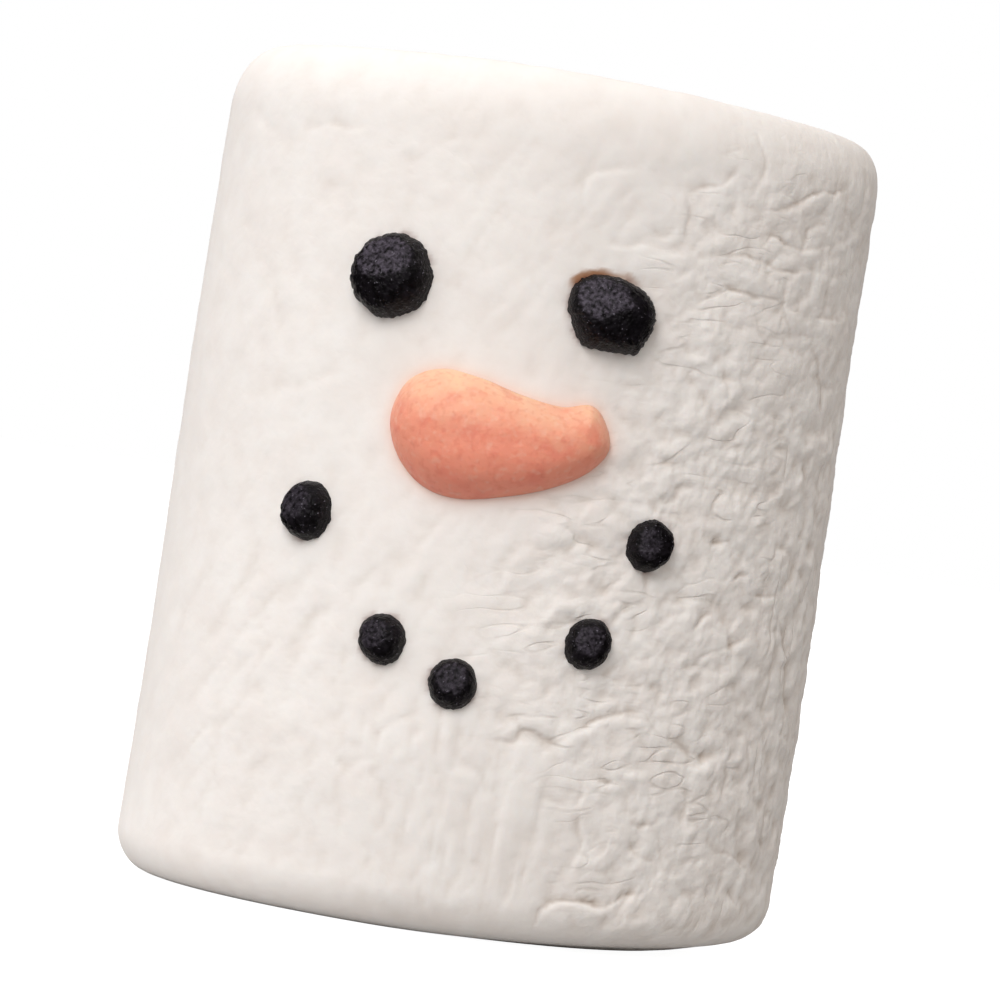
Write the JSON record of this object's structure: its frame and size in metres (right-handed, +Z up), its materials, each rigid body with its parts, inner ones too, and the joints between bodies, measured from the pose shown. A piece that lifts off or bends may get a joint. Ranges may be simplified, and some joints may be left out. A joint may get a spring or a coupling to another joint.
{
  "type": "marshmallow",
  "caption": "Cylindrical white marshmallow with soft rims and a puckered side, decorated with a snowman face of piped icing dots and an orange carrot nose.",
  "frame": {"origin": "middle of the flat end that the marshmallow stands on", "axes": "+Z up along the marshmallow's length, -Y out of the face, +X to the right as seen from the front"},
  "size_m": [0.0303, 0.0318, 0.038],
  "materials": {
    "marshmallow": "matte, starch-dusted, soft and slightly translucent",
    "black_icing": "dried grainy sugar icing",
    "orange_icing": "satin set icing with fine pores"
  },
  "bodies": {
    "root": {"marshmallow": "marshmallow", "eye_left": "black_icing", "eye_right": "black_icing", "nose": "orange_icing", "mouth_1": "black_icing", "mouth_2": "black_icing", "mouth_3": "black_icing", "mouth_4": "black_icing", "mouth_5": "black_icing"}
  },
  "joints": []
}
